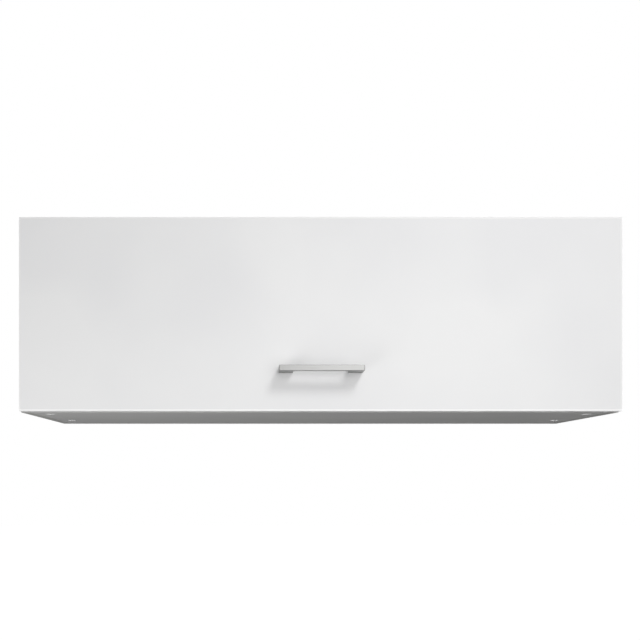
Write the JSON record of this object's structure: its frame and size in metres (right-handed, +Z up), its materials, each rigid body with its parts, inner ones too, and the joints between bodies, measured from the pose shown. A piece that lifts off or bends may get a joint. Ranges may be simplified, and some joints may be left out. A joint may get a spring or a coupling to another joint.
{
  "type": "lift up wall cabinet",
  "caption": "Wide wall-hung kitchen cabinet with one top-hinged lift-up door, gas struts, bow handle and a steel wall rail.",
  "frame": {"origin": "middle of the wall rail's rear face, on the wall plane", "axes": "+X to the right seen from the front, +Y into the wall (the door faces -Y), +Z up"},
  "size_m": [1, 0.357, 0.3214],
  "materials": {
    "white_melamine": "satin",
    "door_white": "satin",
    "hardboard": "matte",
    "satin_handle": "satin",
    "nickel_plate": "polished",
    "zinc_plate": "satin",
    "chrome_rod": "polished",
    "strut_tube": "satin",
    "cam_cap": "satin",
    "white_plastic": "satin",
    "clear_pad": "gloss"
  },
  "bodies": {
    "carcass": {"back_panel": "hardboard", "bottom_panel": "white_melamine", "cam_bottom_front_left": "cam_cap", "cam_bottom_front_right": "cam_cap", "cam_bottom_rear_left": "cam_cap", "cam_bottom_rear_right": "cam_cap", "cam_top_front_left": "zinc_plate", "cam_top_front_right": "zinc_plate", "cam_top_rear_left": "zinc_plate", "cam_top_rear_right": "zinc_plate", "hanger_hook_left": "zinc_plate", "hanger_hook_right": "zinc_plate", "hanger_housing_left": "white_plastic", "hanger_housing_right": "white_plastic", "hanger_screw_left": "zinc_plate", "hanger_screw_right": "zinc_plate", "hinge_arm_left": "nickel_plate", "hinge_arm_right": "nickel_plate", "hinge_arm_screw_left": "zinc_plate", "hinge_arm_screw_right": "zinc_plate", "hinge_plate_left": "nickel_plate", "hinge_plate_right": "nickel_plate", "hinge_plate_screw_inner_left": "zinc_plate", "hinge_plate_screw_inner_right": "zinc_plate", "hinge_plate_screw_outer_left": "zinc_plate", "hinge_plate_screw_outer_right": "zinc_plate", "side_panel_left": "white_melamine", "side_panel_right": "white_melamine", "strut_wall_bracket_left": "zinc_plate", "strut_wall_bracket_right": "zinc_plate", "strut_wall_screw_lower_left": "zinc_plate", "strut_wall_screw_lower_right": "zinc_plate", "strut_wall_screw_upper_left": "zinc_plate", "strut_wall_screw_upper_right": "zinc_plate", "top_panel": "white_melamine", "wall_rail": "zinc_plate"},
    "door": {"bumper_left": "clear_pad", "bumper_right": "clear_pad", "door_panel": "door_white", "handle": "satin_handle", "handle_screw_left": "zinc_plate", "handle_screw_right": "zinc_plate", "hinge_cup_left": "nickel_plate", "hinge_cup_right": "nickel_plate", "hinge_cup_screw_inner_left": "zinc_plate", "hinge_cup_screw_inner_right": "zinc_plate", "hinge_cup_screw_outer_left": "zinc_plate", "hinge_cup_screw_outer_right": "zinc_plate", "hinge_pin_left": "chrome_rod", "hinge_pin_right": "chrome_rod", "strut_door_bracket_left": "zinc_plate", "strut_door_bracket_right": "zinc_plate", "strut_door_screw_lower_left": "zinc_plate", "strut_door_screw_lower_right": "zinc_plate", "strut_door_screw_upper_left": "zinc_plate", "strut_door_screw_upper_right": "zinc_plate"},
    "strut_cylinder_left": {"strut_cylinder_left": "strut_tube"},
    "strut_rod_left": {"strut_rod_left": "chrome_rod"},
    "strut_cylinder_right": {"strut_cylinder_right": "strut_tube"},
    "strut_rod_right": {"strut_rod_right": "chrome_rod"}
  },
  "joints": [
    {"name": "door_lift", "type": "hinge", "parent": "carcass", "child": "door", "pos_m": [0, -0.3135, 0.0582], "axis": [-1, 0, 0], "range_deg": [0, 80]},
    {"name": "strut_tilt_left", "type": "hinge", "parent": "carcass", "child": "strut_cylinder_left", "pos_m": [-0.47, -0.278, 0.037], "axis": [-1, 0, 0], "range_deg": [0, 77]},
    {"name": "strut_stroke_left", "type": "slide", "parent": "strut_cylinder_left", "child": "strut_rod_left", "axis": [0, -0.0691, -0.9976], "range_m": [0, 0.053]},
    {"name": "strut_tilt_right", "type": "hinge", "parent": "carcass", "child": "strut_cylinder_right", "pos_m": [0.47, -0.278, 0.037], "axis": [-1, 0, 0], "range_deg": [0, 77]},
    {"name": "strut_stroke_right", "type": "slide", "parent": "strut_cylinder_right", "child": "strut_rod_right", "axis": [0, -0.0691, -0.9976], "range_m": [0, 0.053]}
  ],
  "couplings": [
    {"joint": "strut_tilt_left", "follows": "door_lift", "ratio": 0.95263},
    {"joint": "strut_stroke_left", "follows": "door_lift", "m_per_rad": 0.037363},
    {"joint": "strut_tilt_right", "follows": "door_lift", "ratio": 0.95263},
    {"joint": "strut_stroke_right", "follows": "door_lift", "m_per_rad": 0.037363}
  ]
}
